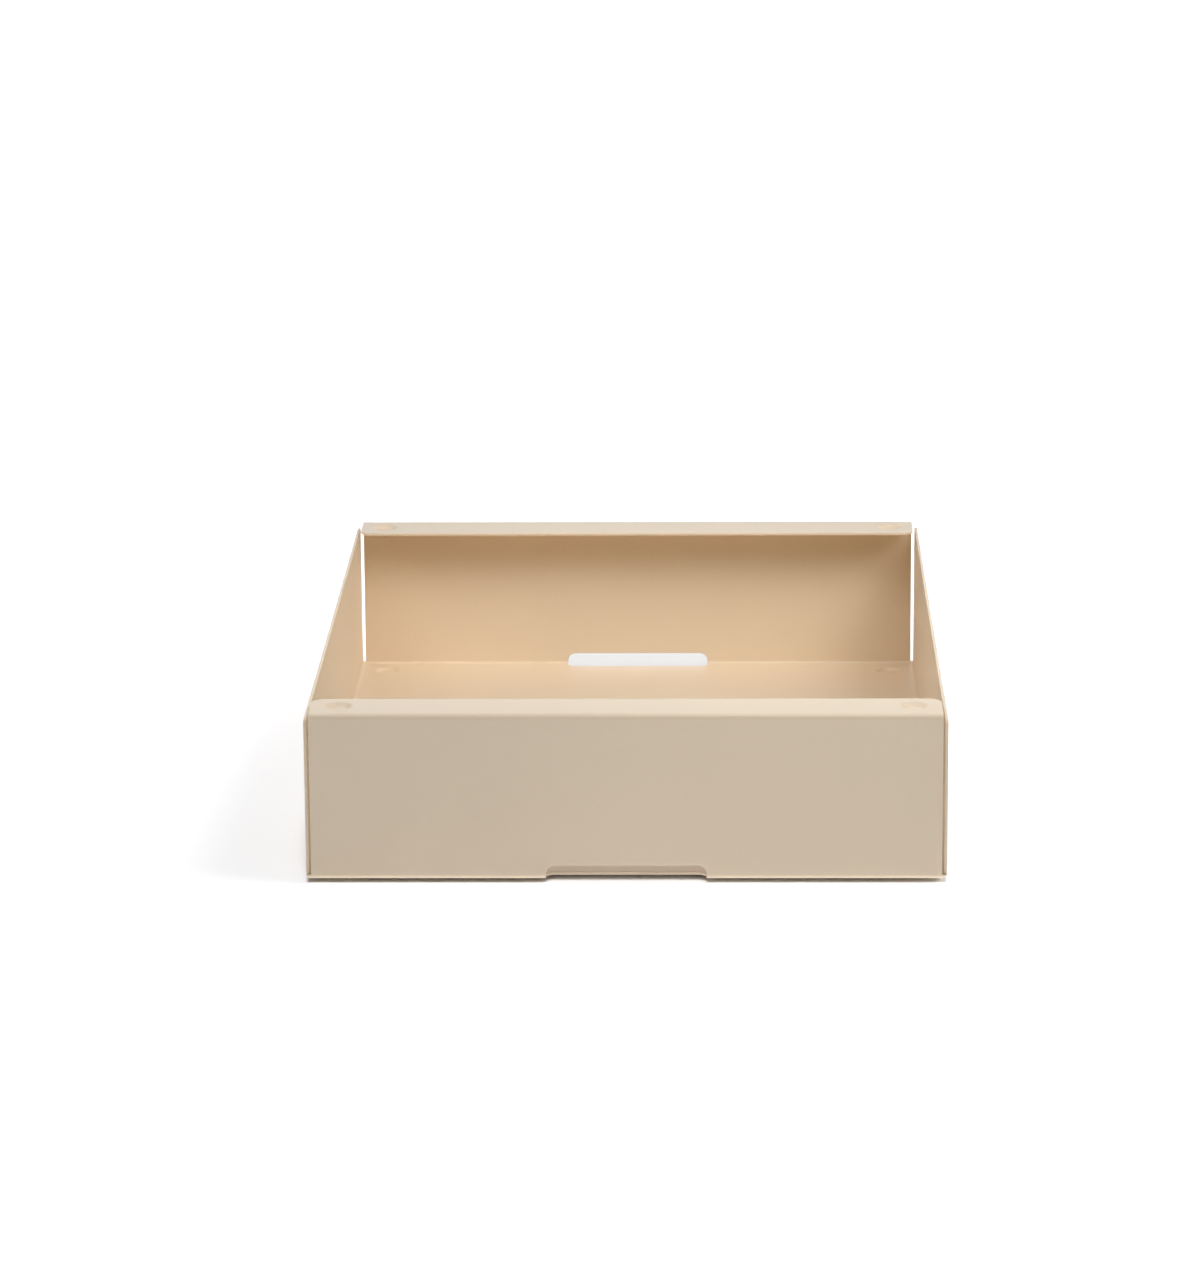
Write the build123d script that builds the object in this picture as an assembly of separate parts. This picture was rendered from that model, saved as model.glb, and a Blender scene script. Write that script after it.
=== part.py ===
from build123d import *
from math import cos, degrees, radians, sin
import os

# A stackable desk tray for A4 paper, folded from one steel sheet and powder coated, with
# four pads under its feet. Millimetres. X runs across the tray, +Y from its front to its
# back, +Z up. The origin is on the desk, under the middle of the tray.

# The folded sheet
tray_width = 250.0  # over the outer faces of the side walls
tray_depth = 325.0  # over the outer faces of the front and back walls
sheet = 1.3  # steel with its powder coat
fold_radius = 2.3  # outside of every fold
closed_corner_radius = 1.0  # upright edge of the closed corner below each slit

# Heights above the underside of the floor
flange_top = 66.8
side_wall_top = 64.2
slit_end = 1.9  # lowest point of a corner slit

# Front and back walls, whose tops fold inwards as flanges
flange_depth = 23.5  # from the wall's outer face to the flange's free edge
flange_corner_radius = 5.5
front_slit = 0.7  # gap between the end of the front wall and the side wall
back_slit = 1.2

# Side walls
side_end_setback = 0.8  # how far their ends stand inside the front and back faces
side_corner_radius = 2.0

# Finger notch across the middle of the front and the back fold
notch_width = 62.6
notch_height = 5.8  # above the underside of the floor
notch_reach = 6.2  # from the wall's outer face into the floor
notch_corner_radius = 3.5

# Stacking dimples: the same pressing is a seat in a flange and a foot in the floor
dimple_inset = 13.0  # from its centre to the side wall's and the end wall's outer faces
dimple_depth = 1.5
dimple_rim_radius = 6.2
dimple_shoulder_radius = 1.7
dimple_toe_radius = 0.8
dimple_slope = radians(40)

# Pads bonded under the feet
pad_radius = 3.3
pad_thickness = 0.5
pad_edge_radius = 0.15

# Sizes that follow
half_width = tray_width / 2
half_depth = tray_depth / 2
inner_half_width = half_width - sheet
inner_fold_radius = fold_radius - sheet
floor_bottom = pad_thickness + dimple_depth
floor_surface = floor_bottom + sheet
side_top = floor_bottom + side_wall_top
flange_surface = floor_bottom + flange_top
wall_joint = floor_bottom + side_wall_top / 2  # where the two drawn parts of an end wall meet
dimple_x = half_width - dimple_inset
dimple_y = half_depth - dimple_inset
clear = 5.0  # how far a cutting tool runs past the sheet

# The end walls: the side of the tray that each one is on, and its slits' width
end_walls = [(-1, front_slit), (1, back_slit)]
corner_names = {
    (-1, -1): "front_left",
    (1, -1): "front_right",
    (-1, 1): "back_left",
    (1, 1): "back_right",
}


def box_between(a, b):
    """A box between two opposite corners."""
    low = [min(pair) for pair in zip(a, b)]
    size = [abs(q - p) for p, q in zip(a, b)]
    return Pos(*low) * Box(*size, align=(Align.MIN, Align.MIN, Align.MIN))


def folded_block(width, depth, bottom, radius):
    """A block from bottom up to the side walls' top, with the four folds on its lower edges."""
    height = side_top - bottom
    block = Box(width, depth, height, align=(Align.CENTER, Align.CENTER, Align.MIN))
    block = fillet(block.edges().group_by(Axis.Z)[0], radius)
    return Pos(0, 0, bottom) * block


def folded_pan():
    """The floor, the four folds, the closed corners and the walls up to the side walls' top."""
    outside = folded_block(tray_width, tray_depth, floor_bottom, fold_radius)
    outside = fillet(outside.edges().filter_by(Axis.Z), closed_corner_radius)
    inner_width = tray_width - 2 * sheet
    inner_depth = tray_depth - 2 * sheet
    return outside - folded_block(inner_width, inner_depth, floor_surface, inner_fold_radius)


def flange_section():
    """The upper part of an end wall and its flange, in a plane across the fold."""
    outer_fold = (0, flange_surface)
    inner_fold = (sheet, flange_surface - sheet)
    outline = Polyline(
        (0, wall_joint),
        outer_fold,
        (flange_depth, flange_surface),
        (flange_depth, flange_surface - sheet),
        inner_fold,
        (sheet, wall_joint),
        close=True,
    )
    section = make_face(outline)
    for corner, radius in ((outer_fold, fold_radius), (inner_fold, inner_fold_radius)):
        section = fillet(section.vertices().sort_by_distance((*corner, 0))[:1], radius)
    return section


def flanged_wall(slit):
    """The upper part of the front wall and its flange, between its two slits."""
    half_length = inner_half_width - slit
    across = Plane(origin=(-half_length, -half_depth, 0), x_dir=(0, 1, 0), z_dir=(1, 0, 0))
    wall = extrude(across * flange_section(), 2 * half_length)
    free_corners = wall.edges().filter_by(Axis.Z).group_by(Axis.Y)[-1]
    return fillet(free_corners, flange_corner_radius)


def corner_cut(side, end, slit):
    """The slit between an end wall and a side wall, and the set-back end of the side wall."""
    x_wall_end = side * (inner_half_width - slit)
    x_slit_middle = side * (inner_half_width - slit / 2)
    x_outside = side * (half_width + clear)
    y_outside = end * (half_depth + clear)
    y_fold = end * (half_depth - fold_radius)
    z_round = floor_bottom + slit_end + slit / 2
    z_above = flange_surface + clear
    slot = box_between(
        (x_wall_end, y_fold, z_round), (side * inner_half_width, y_outside, z_above)
    )
    round_end = Rot(90, 0, 0) * Cylinder(slit / 2, abs(y_outside - y_fold))
    round_end = Pos(x_slit_middle, (y_outside + y_fold) / 2, z_round) * round_end
    setback = box_between(
        (x_slit_middle, end * (half_depth - side_end_setback), z_round),
        (x_outside, y_outside, z_above),
    )
    return slot + round_end + setback


def notch_cut(end):
    """The finger notch: one opening through the wall's foot and the floor's edge."""
    y_outside = end * (half_depth + clear)
    y_fold = end * (half_depth - fold_radius)
    y_reach = end * (half_depth - notch_reach)
    z_under = floor_bottom - clear
    half_notch = notch_width / 2
    through_wall = box_between(
        (-half_notch, y_fold, z_under), (half_notch, y_outside, floor_bottom + notch_height)
    )
    upper_corners = through_wall.edges().filter_by(Axis.Y).group_by(Axis.Z)[-1]
    through_wall = fillet(upper_corners, notch_corner_radius)
    through_floor = box_between(
        (-half_notch, y_reach, z_under), (half_notch, y_outside, floor_bottom + fold_radius)
    )
    upright = through_floor.edges().filter_by(Axis.Z).group_by(Axis.Y)
    inner_corners = upright[0] if end > 0 else upright[-1]
    through_floor = fillet(inner_corners, notch_corner_radius)
    return through_wall + through_floor


def pressing(offset, level):
    """The round solid between a dimple's surface, offset down into the sheet, and a level.

    Its origin is in the middle of the dimple, on the sheet's upper surface.
    """
    bend_run = (dimple_shoulder_radius + dimple_toe_radius) * sin(dimple_slope)
    bend_drop = (dimple_shoulder_radius + dimple_toe_radius) * (1 - cos(dimple_slope))
    slope_run = (dimple_depth - bend_drop) * cos(dimple_slope) / sin(dimple_slope)
    flat_radius = dimple_rim_radius - bend_run - slope_run
    bend = degrees(dimple_slope)
    shoulder_middle = (dimple_rim_radius, -dimple_shoulder_radius)
    toe_middle = (flat_radius, dimple_toe_radius - dimple_depth)
    shoulder = CenterArc(shoulder_middle, dimple_shoulder_radius - offset, 90, bend)
    toe = CenterArc(toe_middle, dimple_toe_radius + offset, 270, bend)
    slope = Line(toe @ 1, shoulder @ 1)
    bottom = Line((0, -dimple_depth - offset), toe @ 0)
    closing = Polyline(shoulder @ 0, (dimple_rim_radius, level), (0, level), bottom @ 0)
    section = make_face([bottom, toe, slope, shoulder, closing])
    return revolve(Plane.XZ * section, Axis.Z)


def dimpled(body):
    """The body with a foot or a seat pressed down at each of the eight dimple positions."""
    bump = pressing(sheet, -sheet / 2)
    bowl = pressing(0, clear)
    for side, end in corner_names:
        for surface in (floor_surface, flange_surface):
            place = Pos(side * dimple_x, end * dimple_y, surface)
            body = body + place * bump - place * bowl
    return body


def tray_body():
    """The one folded sheet."""
    body = folded_pan()
    for end, slit in end_walls:
        wall = flanged_wall(slit)
        body += wall if end < 0 else wall.rotate(Axis.Z, 180)
        for side in (-1, 1):
            body -= corner_cut(side, end, slit)
        body -= notch_cut(end)
    side_top_edges = body.edges().filter_by(Axis.X).filter_by_position(
        Axis.Z, side_top, side_top
    )
    body = fillet(side_top_edges, side_corner_radius)
    return dimpled(body)


def foot_pad():
    """A thin round pad with a softened lower edge, standing on the desk."""
    pad = Cylinder(pad_radius, pad_thickness, align=(Align.CENTER, Align.CENTER, Align.MIN))
    return fillet(pad.edges().group_by(Axis.Z)[0], pad_edge_radius)


nodes = {"tray_body": tray_body()}
for (side, end), name in corner_names.items():
    nodes[f"foot_pad_{name}"] = Pos(side * dimple_x, end * dimple_y, 0) * foot_pad()

os.makedirs("parts", exist_ok=True)
for name, shape in nodes.items():
    export_step(shape, f"parts/{name}.step")
    print(name, "solids", len(shape.solids()), "volume", round(shape.volume, 1), "valid", shape.is_valid)
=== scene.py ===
from math import cos, pi, radians, sin

import bpy
import numpy as np
from mathutils import Matrix, Vector
from mathutils.geometry import delaunay_2d_cdt


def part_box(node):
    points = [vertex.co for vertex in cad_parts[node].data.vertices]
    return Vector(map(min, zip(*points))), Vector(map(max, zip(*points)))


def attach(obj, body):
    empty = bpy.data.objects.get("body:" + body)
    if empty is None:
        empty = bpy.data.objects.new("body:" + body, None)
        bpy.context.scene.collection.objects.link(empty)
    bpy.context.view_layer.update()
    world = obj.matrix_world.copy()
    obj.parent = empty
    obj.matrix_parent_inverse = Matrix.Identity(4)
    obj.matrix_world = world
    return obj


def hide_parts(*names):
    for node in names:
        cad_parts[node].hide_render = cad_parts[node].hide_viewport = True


# A folded steel desk tray. The CAD body is replaced by a finer mesh of the same sheet, with
# softened cut edges, exact folds and smooth dimples, and each pad by a softer one.

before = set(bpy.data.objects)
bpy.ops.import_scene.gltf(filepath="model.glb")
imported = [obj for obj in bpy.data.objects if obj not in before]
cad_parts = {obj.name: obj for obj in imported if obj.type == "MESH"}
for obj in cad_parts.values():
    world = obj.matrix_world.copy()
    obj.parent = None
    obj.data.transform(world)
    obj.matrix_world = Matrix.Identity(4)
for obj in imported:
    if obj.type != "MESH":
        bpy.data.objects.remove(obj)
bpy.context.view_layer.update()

# ---------------------------------------------------------------- sizes, in millimetres
MM = 0.001
body_low, body_high = (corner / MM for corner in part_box("tray_body"))
pad_low, pad_high = (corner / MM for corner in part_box("foot_pad_front_left"))

SHEET = 1.3  # thickness
FOLD = 2.3  # outer radius of a fold
DIMPLE_DEPTH = 1.5
FLOOR_BOTTOM = body_low.z + DIMPLE_DEPTH
HALF_WIDTH = body_high.x
HALF_DEPTH = body_high.y
FLANGE_TOP = body_high.z - FLOOR_BOTTOM  # heights are above the floor's underside
SIDE_TOP = 64.2
FLANGE_DEPTH = 23.5
FLANGE_CORNER = 5.5
SIDE_SETBACK = 0.8
SIDE_CORNER = 2.0
SLITS = {-1: 0.7, 1: 1.2}  # gap at the ends of the front wall and of the back wall
SLIT_ANGLE = radians(80)  # how far up the fold a slit ends
SLIT_CORNER = 0.35
CLOSED_CORNER = 1.0  # upright rounding of the corner below a slit, on the outside
CLOSED_CORNER_INSIDE = 0.3
NOTCH_HALF = 31.3
NOTCH_HEIGHT = 5.8
NOTCH_REACH = 6.2
NOTCH_CORNER = 3.5
EDGE = 0.3  # rounding of every cut edge under the powder coat

DIMPLE_X = (pad_low.x + pad_high.x) / -2
DIMPLE_Y = (pad_low.y + pad_high.y) / -2
DIMPLE_RIM = 6.2
DIMPLE_SHOULDER = 1.7
DIMPLE_TOE = 0.8
DIMPLE_SLOPE = radians(40)

# ---------------------------------------------------------------- the sheet, unfolded
# (a, b) is a point of the flat blank and w its height in the sheet, from 0 on the outside to
# SHEET on the inside. a runs across the tray and b along it, and both are measured on the
# outside, so that a fold is QUARTER long.
QUARTER = FOLD * pi / 2
A_FOLD = HALF_WIDTH - FOLD
B_FOLD = HALF_DEPTH - FOLD
A_TOP = A_FOLD + QUARTER + SIDE_TOP - FOLD
B_FLANGE = B_FOLD + QUARTER + FLANGE_TOP - 2 * FOLD  # where the fold of the flange starts
B_FREE = B_FLANGE + QUARTER + FLANGE_DEPTH - FOLD
SLIT_END = SLIT_ANGLE * FOLD  # from the start of the fold
SLIT_BLEND = 0.6  # over this much of the fold, the closed corner turns into straight wall ends
TINY = 1e-9  # keeps divisions away from zero

# (a, b, is it in a flange)
DIMPLES = [
    (side * DIMPLE_X, end * b, in_flange)
    for side in (-1, 1)
    for end in (-1, 1)
    for b, in_flange in ((DIMPLE_Y, False), (B_FLANGE + QUARTER + B_FOLD - DIMPLE_Y, True))
]


def dimple_flat_radius():
    """Radius of a dimple's flat bottom, inside the shoulder, the straight slope and the toe."""
    bend = DIMPLE_SHOULDER + DIMPLE_TOE
    drop = DIMPLE_DEPTH - bend * (1 - cos(DIMPLE_SLOPE))
    return DIMPLE_RIM - bend * sin(DIMPLE_SLOPE) - drop * cos(DIMPLE_SLOPE) / sin(DIMPLE_SLOPE)


DIMPLE_FLAT = dimple_flat_radius()


def dimple_surface(r):
    """Slope angle and height of a dimple's upper surface at radius r."""
    shoulder_end = DIMPLE_RIM - DIMPLE_SHOULDER * sin(DIMPLE_SLOPE)
    toe_end = DIMPLE_FLAT + DIMPLE_TOE * sin(DIMPLE_SLOPE)
    shoulder_angle = np.arcsin(np.clip((DIMPLE_RIM - r) / DIMPLE_SHOULDER, 0, sin(DIMPLE_SLOPE)))
    toe_angle = np.arcsin(np.clip((r - DIMPLE_FLAT) / DIMPLE_TOE, 0, sin(DIMPLE_SLOPE)))
    angle = np.minimum(shoulder_angle, toe_angle)
    on_shoulder = -DIMPLE_SHOULDER * (1 - np.cos(shoulder_angle))
    on_slope = on_shoulder - np.maximum(shoulder_end - r, 0) * np.tan(DIMPLE_SLOPE)
    on_toe = -DIMPLE_DEPTH + DIMPLE_TOE * (1 - np.cos(toe_angle))
    height = np.where(r > toe_end, on_slope, on_toe)
    return angle, height


def smooth_step(x):
    """Rises smoothly from 0 to 1 while x does."""
    x = np.clip(x, 0, 1)
    return x * x * (3 - 2 * x)


def pressed(a, b, w):
    """Moves points of the flat blank into the dimples: new a and b, and the drop in height."""
    lift = np.zeros_like(a)
    for centre_a, centre_b, in_flange in DIMPLES:
        from_a, from_b = a - centre_a, b - centre_b
        r = np.hypot(from_a, from_b)
        inside = r < DIMPLE_RIM
        below_surface = w if in_flange else SHEET - w
        angle, height = dimple_surface(r)
        outward = np.where(inside, below_surface * np.sin(angle) / np.maximum(r, TINY), 0)
        a = a + from_a * outward
        b = b + from_b * outward
        lift = lift + np.where(inside, height + below_surface * (1 - np.cos(angle)), 0)
    return a, b, lift


def folded(a, b, w):
    """The places that points of the blank take in the folded tray, as rows of x, y, z."""
    side, end = np.where(a < 0, -1, 1), np.where(b < 0, -1, 1)
    a, b, lift = pressed(a, b, w)
    a, b = np.abs(a), np.abs(b)
    radius = FOLD - w
    side_angle = np.clip((a - A_FOLD) / FOLD, 0, pi / 2)
    end_angle = np.clip((b - B_FOLD) / FOLD, 0, pi / 2)
    flange_angle = np.clip((b - B_FLANGE) / FOLD, 0, pi / 2)
    x = np.minimum(a, A_FOLD) + radius * np.sin(side_angle)
    y = np.minimum(b, B_FOLD) + radius * np.sin(end_angle)
    z_side = FOLD - radius * np.cos(side_angle) + np.maximum(a - A_FOLD - QUARTER, 0)
    z_end = FOLD - radius * np.cos(end_angle)
    z_end += np.clip(b - B_FOLD - QUARTER, 0, B_FLANGE - B_FOLD - QUARTER)

    # The closed corner: upright rounding that fades out down to the floor, and straight wall ends
    # above the foot of the slit
    above_side = smooth_step((a - A_FOLD - SLIT_END) / SLIT_BLEND)
    above_end = smooth_step((b - B_FOLD - SLIT_END) / SLIT_BLEND)
    level = np.sin(np.maximum(side_angle, end_angle))
    corner_x, corner_y = A_FOLD + radius * level, B_FOLD + radius * level
    rounding = CLOSED_CORNER + (CLOSED_CORNER_INSIDE - CLOSED_CORNER) * w / SHEET
    rounding = rounding * level * (1 - above_side) * (1 - above_end)
    from_corner = np.maximum(corner_x - x, corner_y - y)
    rounded = (side_angle > 0) & (end_angle > 0) & (from_corner < rounding)
    turn = pi / 4 * from_corner / np.maximum(rounding, TINY)
    turn = pi / 4 + np.where(side_angle >= end_angle, -turn, turn)
    x = np.where(rounded, corner_x - rounding * (1 - np.cos(turn)), x)
    y = np.where(rounded, corner_y - rounding * (1 - np.sin(turn)), y)
    x = np.where(a > A_FOLD, x + (a - x) * above_end, x)
    y = np.where(b > B_FOLD, y + (b - y) * above_side, y)

    # The flange
    y = y - radius * (1 - np.cos(flange_angle)) - np.maximum(b - B_FLANGE - QUARTER, 0)
    z_end += radius * np.sin(flange_angle)
    z = np.maximum(z_side, z_end) + lift + FLOOR_BOTTOM
    return np.stack([x * side, y * end, z], axis=-1)


SLOPE_STEP = 0.002  # either way, to find how the sheet runs at a point


def surface_frame(a, b, w):
    """Places, unit normals from the sheet's outside to its inside, and the runs along a and b."""
    along_a = folded(a + SLOPE_STEP, b, w) - folded(a - SLOPE_STEP, b, w)
    along_b = folded(a, b + SLOPE_STEP, w) - folded(a, b - SLOPE_STEP, w)
    normal = np.cross(along_a, along_b)
    normal /= np.linalg.norm(normal, axis=-1, keepdims=True)
    return folded(a, b, w), normal, along_a, along_b


# ---------------------------------------------------------------- stations of the blank
FOLD_STEPS = 12
GRID = 16.0  # spacing on flat areas
SLIT_STEPS = 4
STATION_GAP = 0.02  # stations nearer than this are one


def spread(start, stop):
    """Evenly spaced values about GRID apart, without the first."""
    count = max(1, round(abs(stop - start) / GRID))
    return list(np.linspace(start, stop, count + 1)[1:])


def fold_stations(start):
    """The start of a fold and its steps up to its end."""
    return [start + QUARTER * k / FOLD_STEPS for k in range(FOLD_STEPS + 1)]


def slit_stations(start):
    """The end of a slit and the blend above it."""
    return [start + SLIT_END + SLIT_BLEND * k / SLIT_STEPS for k in range(SLIT_STEPS + 1)]


def mirrored(values):
    """Sorted values of both signs, with near-equal ones merged."""
    ordered = sorted(values)
    kept = [ordered[0]]
    for value in ordered[1:]:
        if value - kept[-1] > STATION_GAP:
            kept.append(value)
    return np.array(sorted({-value for value in kept} | set(kept)))


A_STATIONS = mirrored(
    spread(-GRID / 2, A_FOLD)
    + fold_stations(A_FOLD)
    + slit_stations(A_FOLD)
    + spread(A_FOLD + QUARTER, A_TOP)[:-1]
)
B_STATIONS = mirrored(
    spread(-GRID / 2, B_FOLD)
    + fold_stations(B_FOLD)
    + slit_stations(B_FOLD)
    + spread(B_FOLD + QUARTER, B_FLANGE)
    + fold_stations(B_FLANGE)
    + spread(B_FLANGE + QUARTER, B_FREE)[:-1]
)


# ---------------------------------------------------------------- outlines of the blank
CORNER_STEPS_PER_MM = 3  # of radius
FEWEST_CORNER_STEPS = 4
OUTLINE_GAP = 0.03  # kept between the end of a rounding and the next station


def outline(corners):
    """Points and outward directions round an outline with rounded corners, material on the left.
    corners holds (a, b, radius). Straight runs along a or b are cut at every station they cross."""
    count = len(corners)
    points, outward = [], []
    for i, (a, b, radius) in enumerate(corners):
        before = np.array(corners[i - 1][:2])
        here = np.array((a, b))
        after = np.array(corners[(i + 1) % count][:2])
        arriving = (here - before) / np.linalg.norm(here - before)
        leaving = (after - here) / np.linalg.norm(after - here)
        out_start = np.array((arriving[1], -arriving[0]))
        out_end = np.array((leaving[1], -leaving[0]))
        turn = 1 if arriving[0] * leaving[1] - arriving[1] * leaving[0] > 0 else -1
        centre = here - radius * arriving + radius * leaving
        steps = max(FEWEST_CORNER_STEPS, round(radius * CORNER_STEPS_PER_MM))
        for k in range(steps + 1):
            angle = pi / 2 * k / steps
            direction = out_start * cos(angle) + out_end * sin(angle)
            points.append(centre + turn * radius * direction)
            outward.append(direction)
        start = here + radius * leaving
        stop = after - corners[(i + 1) % count][2] * leaving
        along = 0 if abs(leaving[0]) > 0.5 else 1
        stations = A_STATIONS if along == 0 else B_STATIONS
        low, high = sorted((start[along], stop[along]))
        between = [s for s in stations if low + OUTLINE_GAP < s < high - OUTLINE_GAP]
        for s in between if stop[along] > start[along] else reversed(between):
            point = start.copy()
            point[along] = s
            points.append(point)
            outward.append(out_end)
    return np.array(points), np.array(outward)


def blank_outlines():
    """The blank's outline, anticlockwise, and its two finger notches, clockwise."""
    side_end = HALF_DEPTH - SIDE_SETBACK
    slit_a, slit_b = A_FOLD + SLIT_END, B_FOLD + SLIT_END
    corners = []
    for side, end in ((1, 1), (-1, 1), (-1, -1), (1, -1)):
        wall_end = HALF_WIDTH - SHEET - SLITS[end]
        quarter = [
            (A_TOP, side_end, SIDE_CORNER),
            (slit_a, side_end, SLIT_CORNER),
            (slit_a, slit_b, CLOSED_CORNER / 2),
            (wall_end, slit_b, SLIT_CORNER),
            (wall_end, B_FREE, FLANGE_CORNER),
        ]
        quarter = [(side * a, end * b, radius) for a, b, radius in quarter]
        corners += quarter if side == end else quarter[::-1]
    loops = [outline(corners)]
    low, high = HALF_DEPTH - NOTCH_REACH, B_FOLD + QUARTER + NOTCH_HEIGHT - FOLD
    for end in (-1, 1):
        first, last = sorted((end * low, end * high))
        notch = [(-NOTCH_HALF, first), (-NOTCH_HALF, last), (NOTCH_HALF, last), (NOTCH_HALF, first)]
        loops.append(outline([(a, b, NOTCH_CORNER) for a, b in notch]))
    return loops


def inside_loops(points, loops):
    """Which points lie inside the first loop and outside the others."""
    crossings = np.zeros(len(points), int)
    for loop in loops:
        after = np.roll(loop, -1, axis=0)
        for (a0, b0), (a1, b1) in zip(loop, after):
            if b0 == b1:
                continue
            spans = (points[:, 1] >= min(b0, b1)) & (points[:, 1] < max(b0, b1))
            crossing = a0 + (points[:, 1] - b0) * (a1 - a0) / (b1 - b0)
            crossings += spans & (points[:, 0] < crossing)
    return crossings % 2 == 1


def distance_to_loops(points, loops):
    """Distance from each point to the nearest edge of any loop."""
    nearest = np.full(len(points), np.inf)
    for loop in loops:
        after = np.roll(loop, -1, axis=0)
        for start, stop in zip(loop, after):
            edge = stop - start
            share = np.clip((points - start) @ edge / (edge @ edge), 0, 1)
            gap = points - start - share[:, None] * edge
            nearest = np.minimum(nearest, np.hypot(gap[:, 0], gap[:, 1]))
    return nearest


# ---------------------------------------------------------------- triangles over the blank
SHOULDER_STEPS = 5
TOE_STEPS = 4
FLAT_RINGS = (0.6, 0.25)  # shares of the flat bottom's radius
RING_POINTS = 64
CENTRE_RING_POINTS = 16
DIMPLE_CLEARANCE = 0.3  # kept free of grid points round a dimple
EDGE_CLEARANCE = 0.1  # kept free of grid points along the outlines
ON_STATION = 1e-6  # a point this near a station line is on it
ON_DIAGONAL = 0.01
MERGE_DISTANCE = 1e-5  # points nearer than this are one in the triangulation


def dimple_rings():
    """Radii of the rings over a dimple, from its rim inwards."""
    shoulder = [sin(DIMPLE_SLOPE * k / SHOULDER_STEPS) for k in range(SHOULDER_STEPS + 1)]
    toe = [sin(DIMPLE_SLOPE * k / TOE_STEPS) for k in range(TOE_STEPS, -1, -1)]
    rings = [DIMPLE_RIM - DIMPLE_SHOULDER * share for share in shoulder]
    rings += [DIMPLE_FLAT + DIMPLE_TOE * share for share in toe]
    return rings + [DIMPLE_FLAT * share for share in FLAT_RINGS]


def near_dimple(starts, stops):
    """Which straight lines pass over a dimple or close by."""
    near = np.zeros(len(starts), bool)
    run = stops - starts
    for centre_a, centre_b, _ in DIMPLES:
        reach = np.array((centre_a, centre_b)) - starts
        share = (reach * run).sum(axis=1) / np.maximum((run * run).sum(axis=1), TINY)
        gap = reach - np.clip(share, 0, 1)[:, None] * run
        near |= np.hypot(gap[:, 0], gap[:, 1]) < DIMPLE_RIM + DIMPLE_CLEARANCE
    return near


def station_edges(points, number, loops):
    """Edges that join neighbouring points along every station line, up to the outlines."""
    found = []
    on_loops = sum(len(loop) for loop in loops)
    candidates = list(range(on_loops)) + sorted(number.values())
    places = np.array([points[i] for i in candidates])
    for along, stations in ((1, A_STATIONS), (0, B_STATIONS)):
        for station in stations:
            on_line = np.nonzero(np.abs(places[:, 1 - along] - station) < ON_STATION)[0]
            order = on_line[np.argsort(places[on_line, along])]
            found += list(zip(order[:-1], order[1:]))
    starts, stops = (places[[pair[k] for pair in found]] for k in (0, 1))
    middle = (starts + stops) / 2
    good = inside_loops(middle, loops) & (distance_to_loops(middle, loops) > STATION_GAP)
    good &= ~near_dimple(starts, stops)
    return [(candidates[i], candidates[j]) for (i, j), ok in zip(found, good) if ok]


def triangulate(loops):
    """Points of the blank, triangles, and the indices of each loop's points."""
    points, edges, loop_indices = [], [], []
    for loop in loops:
        first = len(points)
        indices = list(range(first, first + len(loop)))
        points += [tuple(p) for p in loop]
        edges += list(zip(indices, indices[1:] + indices[:1]))
        loop_indices.append(indices)
    for centre_a, centre_b, _ in DIMPLES:
        for radius in dimple_rings():
            count = RING_POINTS if radius > DIMPLE_FLAT / 2 else CENTRE_RING_POINTS
            first = len(points)
            indices = list(range(first, first + count))
            for k in range(count):
                angle = 2 * pi * k / count
                points.append((centre_a + radius * cos(angle), centre_b + radius * sin(angle)))
            edges += list(zip(indices, indices[1:] + indices[:1]))

    grid = np.array([(a, b) for a in A_STATIONS for b in B_STATIONS])
    clear = inside_loops(grid, loops) & (distance_to_loops(grid, loops) > EDGE_CLEARANCE)
    clear &= ~near_dimple(grid, grid)
    number = {}
    for place in np.nonzero(clear)[0]:
        number[tuple(grid[place])] = len(points)
        points.append(tuple(grid[place]))
    edges += station_edges(points, number, loops)

    # Edges along the diagonal of each closed corner, where its two folds meet
    for (a, b), index in number.items():
        off_diagonal = abs(abs(a) - A_FOLD - abs(b) + B_FOLD)
        if abs(a) > A_FOLD - ON_DIAGONAL and off_diagonal < ON_DIAGONAL:
            a_next = A_STATIONS[np.searchsorted(A_STATIONS, a) + 1]
            b_next = B_STATIONS[np.searchsorted(B_STATIONS, b) + (1 if a * b > 0 else -1)]
            if (a_next, b_next) in number:
                edges.append((index, number[a_next, b_next]))

    coordinates = [Vector(p) for p in points]
    made, _, faces, origin, _, _ = delaunay_2d_cdt(
        coordinates, [(int(i), int(j)) for i, j in edges], [], 0, MERGE_DISTANCE, True
    )
    flat = np.array([(p.x, p.y) for p in made])
    new_index = {}
    for index, sources in enumerate(origin):
        for source in sources:
            new_index[source] = index
            flat[index] = points[source]
    triangles = np.array([f for f in faces if len(f) == 3])
    middle = flat[triangles].mean(axis=1)
    triangles = triangles[inside_loops(middle, loops)]
    return flat, triangles, [[new_index[i] for i in indices] for indices in loop_indices]


# ---------------------------------------------------------------- the sheet as a solid
RIM_STEPS = 4


def rim_rows():
    """Rows of the rounded edge between the two surfaces: inset from the outline, height in the
    sheet, how far the normal has turned from the surface towards the edge, and the side of the
    sheet, -1 outside and 1 inside."""
    rows = []
    for k in range(1, RIM_STEPS + 1):
        turn = pi / 2 * k / RIM_STEPS
        rows.append((EDGE * (1 - sin(turn)), EDGE * (1 - cos(turn)), turn, -1))
    for inset, height, turn, _ in rows[::-1]:
        rows.append((inset, SHEET - height, turn, 1))
    return rows


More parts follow.
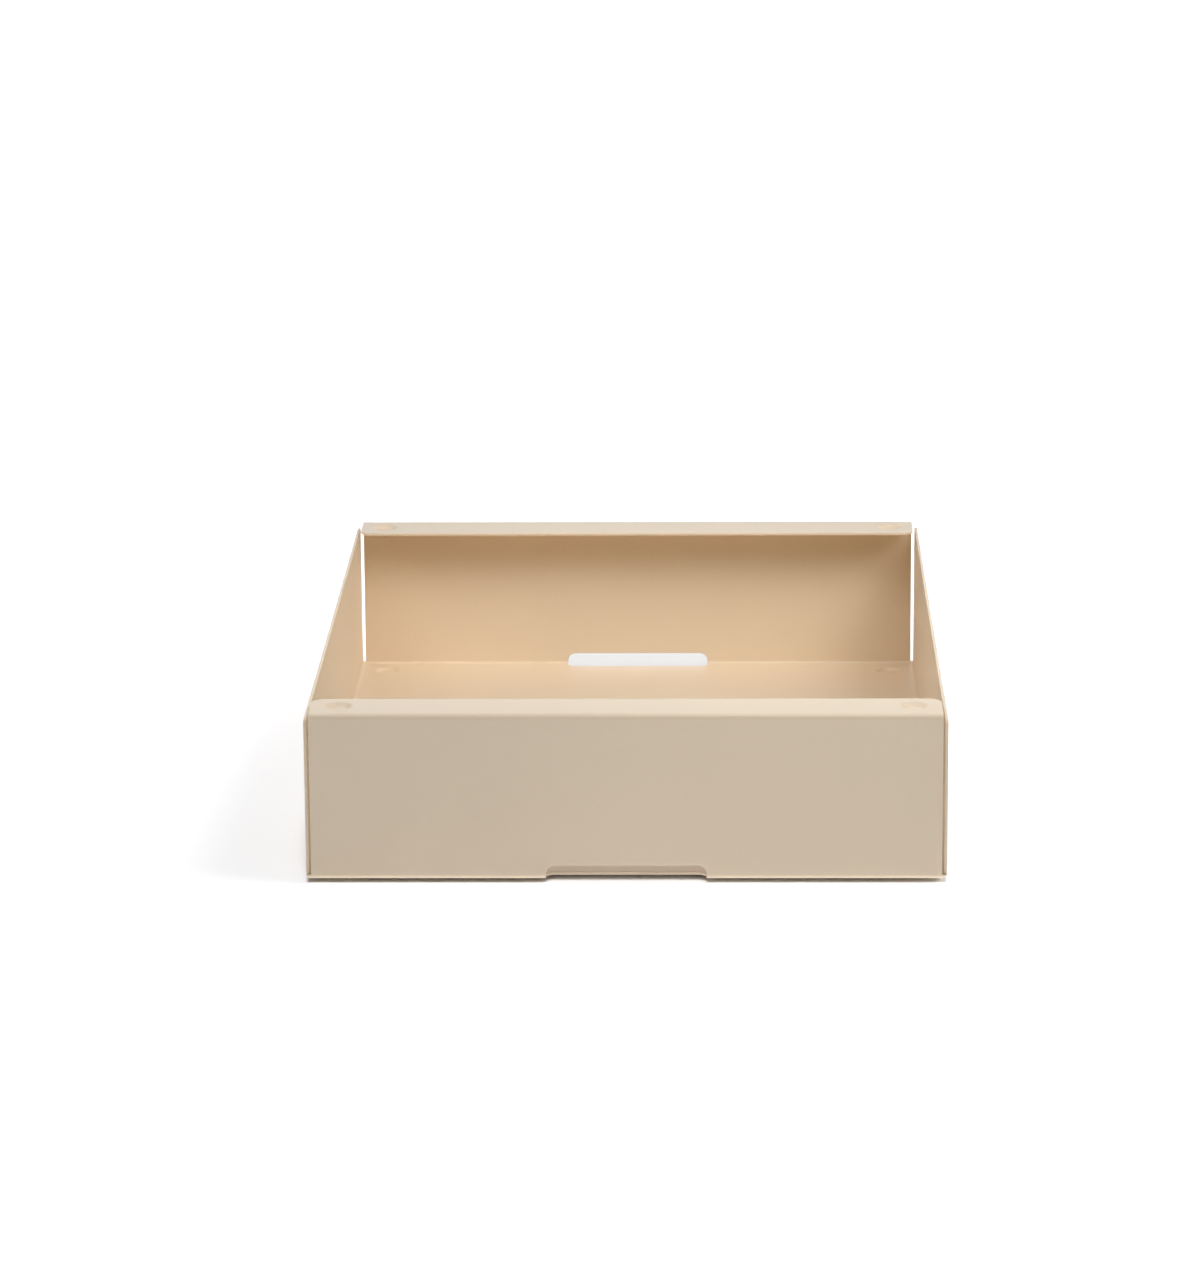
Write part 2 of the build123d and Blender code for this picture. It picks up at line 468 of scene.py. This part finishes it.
def tray_sheet():
    """Vertices, faces and normals of the whole folded sheet as one watertight solid."""
    outlines = blank_outlines()
    flat, triangles, loops = triangulate([p - EDGE * out for p, out in outlines])
    count = len(flat)
    a, b = flat.T
    outside, inward, _, _ = surface_frame(a, b, np.zeros(count))
    inside, upward, _, _ = surface_frame(a, b, np.full(count, SHEET))
    vertices, normals = [outside, inside], [-inward, upward]
    faces = [tuple(int(i) for i in f[::-1]) for f in triangles]
    faces += [tuple(int(i) + count for i in f) for f in triangles]
    total = 2 * count
    for (points, outward), indices in zip(outlines, loops):
        size = len(points)
        previous = list(indices)
        for inset, height, turn, face in rim_rows():
            row = points - inset * outward
            w = np.full(size, height)
            place, through, along_a, along_b = surface_frame(row[:, 0], row[:, 1], w)
            run = -outward[:, 1:] * along_a + outward[:, :1] * along_b
            edge_normal = np.cross(run, through)
            edge_normal /= np.linalg.norm(edge_normal, axis=1, keepdims=True)
            vertices.append(place)
            normals.append(edge_normal * sin(turn) + face * through * cos(turn))
            current = list(range(total, total + size))
            total += size
            faces += strip(previous, current)
            previous = current
        faces += strip(previous, [i + count for i in indices])
    return np.concatenate(vertices), faces, np.concatenate(normals)


def strip(lower, upper):
    """Quads between two closed rows of vertices."""
    size = len(lower)
    after = [(k + 1) % size for k in range(size)]
    return [(lower[k], lower[j], upper[j], upper[k]) for k, j in enumerate(after)]


def add_mesh(name, vertices, faces, normals):
    """A mesh object from places in millimetres, with its own vertex normals."""
    mesh = bpy.data.meshes.new(name)
    mesh.from_pydata((vertices * MM).tolist(), [], faces)
    mesh.polygons.foreach_set("use_smooth", [True] * len(faces))
    mesh.normals_split_custom_set_from_vertices(normals.tolist())
    mesh.validate(clean_customdata=False)
    piece = bpy.data.objects.new(name, mesh)
    bpy.context.scene.collection.objects.link(piece)
    return piece


# ---------------------------------------------------------------- the pads
PAD_EDGE = 0.15
PAD_EDGE_STEPS = 4
PAD_SIDES = 72


def pad_disc(low, high):
    """Vertices, faces and normals of a pad: a disc with rounded rims between two corners."""
    centre = (low + high) / 2
    radius, height = (high.x - low.x) / 2, high.z - low.z
    profile = [(radius / 2, 0.0, 0.0, -1.0)]
    for rise, first in ((0.0, -pi / 2), (height - 2 * PAD_EDGE, 0.0)):
        for k in range(PAD_EDGE_STEPS + 1):
            turn = first + pi / 2 * k / PAD_EDGE_STEPS
            r = radius - PAD_EDGE * (1 - cos(turn))
            profile.append((r, rise + PAD_EDGE * (1 + sin(turn)), cos(turn), sin(turn)))
    profile.append((radius / 2, height, 0.0, 1.0))
    vertices, normals, faces = [], [], []
    for r, z, across, up in profile:
        for k in range(PAD_SIDES):
            x, y = cos(2 * pi * k / PAD_SIDES), sin(2 * pi * k / PAD_SIDES)
            vertices.append((centre.x + r * x, centre.y + r * y, low.z + z))
            normals.append((across * x, across * y, up))
    for row in range(len(profile) - 1):
        lower = list(range(row * PAD_SIDES, (row + 1) * PAD_SIDES))
        faces += strip(lower, [i + PAD_SIDES for i in lower])
    faces.append(tuple(range(PAD_SIDES))[::-1])
    faces.append(tuple(range((len(profile) - 1) * PAD_SIDES, len(profile) * PAD_SIDES)))
    return np.array(vertices), faces, np.array(normals)


# ---------------------------------------------------------------- materials
NOISE_LOW, NOISE_HIGH = 0.3, 0.7  # nearly all of a noise lies between these
MIX_FACTOR, MIX_FIRST, MIX_SECOND, MIX_RESULT = 0, 6, 7, 2  # a mix node's sockets for colours


def new_material(name):
    """A node material, its nodes, its links, and its Principled shader."""
    material = bpy.data.materials.new(name)
    material.use_nodes = True
    nodes = material.node_tree.nodes
    return material, nodes, material.node_tree.links, nodes["Principled BSDF"]


def noise(nodes, links, scale, detail, roughness=0.5):
    """A noise texture on the object's own coordinates, at scale cells per metre."""
    place = nodes.get("Texture Coordinate") or nodes.new("ShaderNodeTexCoord")
    texture = nodes.new("ShaderNodeTexNoise")
    texture.inputs["Scale"].default_value = scale
    texture.inputs["Detail"].default_value = detail
    texture.inputs["Roughness"].default_value = roughness
    links.new(place.outputs["Object"], texture.inputs["Vector"])
    return texture.outputs["Fac"]


def remapped(nodes, links, value, low, high):
    """A noise value spread from low to high."""
    node = nodes.new("ShaderNodeMapRange")
    node.inputs["From Min"].default_value = NOISE_LOW
    node.inputs["From Max"].default_value = NOISE_HIGH
    node.inputs["To Min"].default_value = low
    node.inputs["To Max"].default_value = high
    links.new(value, node.inputs["Value"])
    return node.outputs["Result"]


def mixed_colour(nodes, links, factor, first, second):
    """A colour between two, by a factor socket."""
    node = nodes.new("ShaderNodeMix")
    node.data_type = "RGBA"
    for index, colour in ((MIX_FIRST, first), (MIX_SECOND, second)):
        if isinstance(colour, tuple):
            node.inputs[index].default_value = (*colour, 1)
        else:
            links.new(colour, node.inputs[index])
    links.new(factor, node.inputs[MIX_FACTOR])
    return node.outputs[MIX_RESULT]


def bumped(nodes, links, height, distance, below=None):
    """A bump of that height in metres, on top of another."""
    node = nodes.new("ShaderNodeBump")
    node.inputs["Distance"].default_value = distance
    links.new(height, node.inputs["Height"])
    if below is not None:
        links.new(below, node.inputs["Normal"])
    return node.outputs["Normal"]


# The powder coat. A noise is given by its cells per metre, its detail and its own roughness.
COAT_COLOUR = (0.82, 0.67, 0.49)
MOTTLING = (14, 3)
MOTTLING_DARKEST, MOTTLING_LIGHTEST = 0.985, 1.015
GRAIN = (1900, 2, 0.6)
GRAIN_HEIGHT = 0.000012  # metres
PEEL = (620, 1)
PEEL_HEIGHT = 0.00002
SPECK_SHADE = 0.8
SPECK_STRENGTH = 0.12
COAT_ROUGHNESS = (0.31, 0.41)  # from the bottom of the grain to its top
COAT_IOR = 1.55
COAT_SHEEN = 0.1
COAT_SHEEN_ROUGHNESS = 0.5

# The pads
PAD_CLOUD = (260, 2)
PAD_DARK, PAD_LIGHT = (0.50, 0.47, 0.42), (0.56, 0.53, 0.48)
PAD_GRAIN = (3500, 2)
PAD_GRAIN_HEIGHT = 0.00001
PAD_ROUGHNESS = (0.42, 0.58)


def shade(colour, factor):
    """A colour made darker or lighter by a factor."""
    return tuple(channel * factor for channel in colour)


def powder_coat():
    """Matte beige powder coat: fine grain, a slight orange peel, and very slight mottling."""
    material, nodes, links, shader = new_material("powder_coat")
    mottling = noise(nodes, links, *MOTTLING)
    grain = noise(nodes, links, *GRAIN)
    peel = noise(nodes, links, *PEEL)
    broad = mixed_colour(
        nodes, links, remapped(nodes, links, mottling, 0, 1),
        shade(COAT_COLOUR, MOTTLING_DARKEST), shade(COAT_COLOUR, MOTTLING_LIGHTEST),
    )
    speck_share = remapped(nodes, links, grain, 0, SPECK_STRENGTH)
    speck = mixed_colour(nodes, links, speck_share, broad, shade(COAT_COLOUR, SPECK_SHADE))
    links.new(speck, shader.inputs["Base Color"])
    roughness = remapped(nodes, links, grain, *COAT_ROUGHNESS)
    links.new(roughness, shader.inputs["Roughness"])
    shader.inputs["IOR"].default_value = COAT_IOR
    shader.inputs["Sheen Weight"].default_value = COAT_SHEEN
    shader.inputs["Sheen Roughness"].default_value = COAT_SHEEN_ROUGHNESS
    fine = bumped(nodes, links, grain, GRAIN_HEIGHT)
    links.new(bumped(nodes, links, peel, PEEL_HEIGHT, fine), shader.inputs["Normal"])
    return material


def soft_pad():
    """Grey-beige elastomer with a fine moulded grain."""
    material, nodes, links, shader = new_material("pad_elastomer")
    cloud = noise(nodes, links, *PAD_CLOUD)
    grain = noise(nodes, links, *PAD_GRAIN)
    colour = mixed_colour(nodes, links, remapped(nodes, links, cloud, 0, 1), PAD_DARK, PAD_LIGHT)
    links.new(colour, shader.inputs["Base Color"])
    links.new(remapped(nodes, links, grain, *PAD_ROUGHNESS), shader.inputs["Roughness"])
    links.new(bumped(nodes, links, grain, PAD_GRAIN_HEIGHT), shader.inputs["Normal"])
    return material


# ---------------------------------------------------------------- the tray
tray = add_mesh("tray_sheet", *tray_sheet())
tray.data.materials.append(powder_coat())
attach(tray, "root")
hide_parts("tray_body")

tray_pieces = [tray]
pad_material = soft_pad()
for corner in ("front_left", "front_right", "back_left", "back_right"):
    node = "foot_pad_" + corner
    pad = add_mesh("pad_" + corner, *pad_disc(*(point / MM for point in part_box(node))))
    pad.data.materials.append(pad_material)
    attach(pad, "root")
    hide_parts(node)
    tray_pieces.append(pad)


# ---------------------------------------------------------------- stage, light and camera
GROUND_HALF = 9.0  # metres
GROUND_CORNERS = ((-1, -1), (1, -1), (1, 1), (-1, 1))
GROUND_CLOUD = (3, 2)
GROUND_DARK, GROUND_LIGHT = (0.915, 0.93, 0.96), (0.925, 0.94, 0.97)
GROUND_ROUGHNESS = 0.9
LAMP_DISTANCE = 3  # where a distant light stands; only its direction matters


def ground():
    """A plain pale floor, large enough to fill the view."""
    mesh = bpy.data.meshes.new("ground")
    corners = [(across * GROUND_HALF, along * GROUND_HALF, 0) for across, along in GROUND_CORNERS]
    mesh.from_pydata(corners, [], [(0, 1, 2, 3)])
    piece = bpy.data.objects.new("ground", mesh)
    bpy.context.scene.collection.objects.link(piece)
    material, nodes, links, shader = new_material("pale_floor")
    tone = remapped(nodes, links, noise(nodes, links, *GROUND_CLOUD), 0, 1)
    colour = mixed_colour(nodes, links, tone, GROUND_DARK, GROUND_LIGHT)
    links.new(colour, shader.inputs["Base Color"])
    shader.inputs["Roughness"].default_value = GROUND_ROUGHNESS
    mesh.materials.append(material)
    return piece


def lit_group(name, pieces):
    """A collection of the things that a lamp is kept to."""
    group = bpy.data.collections.new(name + "_only")
    for piece in pieces:
        group.objects.link(piece)
    return group


def add_lamp(light, place, towards, lights_only):
    """Puts a light at a place, kept to one group. towards points from what it lights back to it."""
    lamp = bpy.data.objects.new(light.name, light)
    bpy.context.scene.collection.objects.link(lamp)
    lamp.location = place
    lamp.rotation_mode = "QUATERNION"
    lamp.rotation_quaternion = towards.to_track_quat("Z", "Y")
    lamp.visible_camera = False
    lamp.light_linking.receiver_collection = lights_only


def distant_light(name, azimuth, elevation, width, strength, lights_only):
    """A soft light far away. Azimuth 0 is in front of the tray and 90 to its right; width is how
    wide it looks, in degrees."""
    light = bpy.data.lights.new(name, "SUN")
    light.angle = radians(width)
    light.energy = strength
    turn, rise = radians(azimuth), radians(elevation)
    towards = Vector((sin(turn) * cos(rise), -cos(turn) * cos(rise), sin(rise)))
    add_lamp(light, towards * LAMP_DISTANCE, towards, lights_only)


def softbox(name, place, target, size, power, spread, lights_only):
    """A square softbox near the tray, with a grid that keeps its light within spread degrees."""
    light = bpy.data.lights.new(name, "AREA")
    light.size = size
    light.energy = power
    light.spread = radians(spread)
    place = Vector(place)
    add_lamp(light, place, (place - Vector(target)).normalized(), lights_only)


# The floor is lit to white round the tray, and the tray evenly, so each has lamps of its own.
FLOOR = lit_group("floor", [ground()])
TRAY = lit_group("tray", tray_pieces)

DISTANT_LIGHTS = [
    # name, azimuth, elevation, width, strength, what it lights
    ("floor_front", 0, 51, 14, 2.88, FLOOR),
    ("floor_right", 90, 45, 40, 1.58, FLOOR),
    ("low_left", -90, 18, 30, 0.18, TRAY),
]
SOFTBOXES = [
    # name, place, target, size, power, spread, what it lights
    ("floor_near", (0.05, -0.30, 0.18), (0, 0, 0.03), 0.25, 0.14, 180, FLOOR),
    ("floor_back", (0, 0.50, 0.35), (0, 0.25, 0), 0.40, 1.55, 180, FLOOR),
    ("overhead", (0.10, -0.10, 0.45), (0, 0, 0.03), 0.30, 0.69, 180, TRAY),
    ("overhead_left", (-0.25, -0.10, 0.45), (0, 0, 0.03), 0.30, 0.79, 180, TRAY),
    ("overhead_right", (0.40, -0.10, 0.45), (0, 0, 0.03), 0.30, 0.75, 180, TRAY),
    ("grid_right", (0.28, -0.25, 0.42), (-0.04, 0.16, 0.035), 0.25, 0.135, 55, TRAY),
]
for settings in DISTANT_LIGHTS:
    distant_light(*settings)
for settings in SOFTBOXES:
    softbox(*settings)

# A white surround, which is seen and reflected and lights nothing
SURROUND_STRENGTH = 1.3
world = bpy.data.worlds.new("studio")
world.use_nodes = True
world.node_tree.nodes["Background"].inputs["Color"].default_value = (1, 1, 1, 1)
world.node_tree.nodes["Background"].inputs["Strength"].default_value = SURROUND_STRENGTH
world.cycles_visibility.diffuse = False
bpy.context.scene.world = world
bpy.context.scene.view_settings.view_transform = "Standard"

CAMERA_PLACE = Vector((0.0346, -2.1007, 0.6050))
CAMERA_TURN = radians(-1.306)  # to the right of straight ahead
CAMERA_DIP = radians(14.639)  # below the horizon
CAMERA_ROLL = radians(0.390)
CAMERA_LENS = 146.26
CAMERA_REACH = 50


def add_camera():
    """The camera at the photographed viewing angle."""
    ahead = Vector((
        sin(CAMERA_TURN) * cos(CAMERA_DIP), cos(CAMERA_TURN) * cos(CAMERA_DIP), -sin(CAMERA_DIP)
    ))
    level_right = Vector((cos(CAMERA_TURN), -sin(CAMERA_TURN), 0))
    level_down = ahead.cross(level_right)
    right = cos(CAMERA_ROLL) * level_right + sin(CAMERA_ROLL) * level_down
    down = -sin(CAMERA_ROLL) * level_right + cos(CAMERA_ROLL) * level_down
    data = bpy.data.cameras.new("camera")
    data.lens = CAMERA_LENS
    data.clip_end = CAMERA_REACH
    camera = bpy.data.objects.new("camera", data)
    bpy.context.scene.collection.objects.link(camera)
    turned = Matrix((right, -down, -ahead)).transposed().to_4x4()
    camera.matrix_world = Matrix.Translation(CAMERA_PLACE) @ turned
    bpy.context.scene.camera = camera


add_camera()
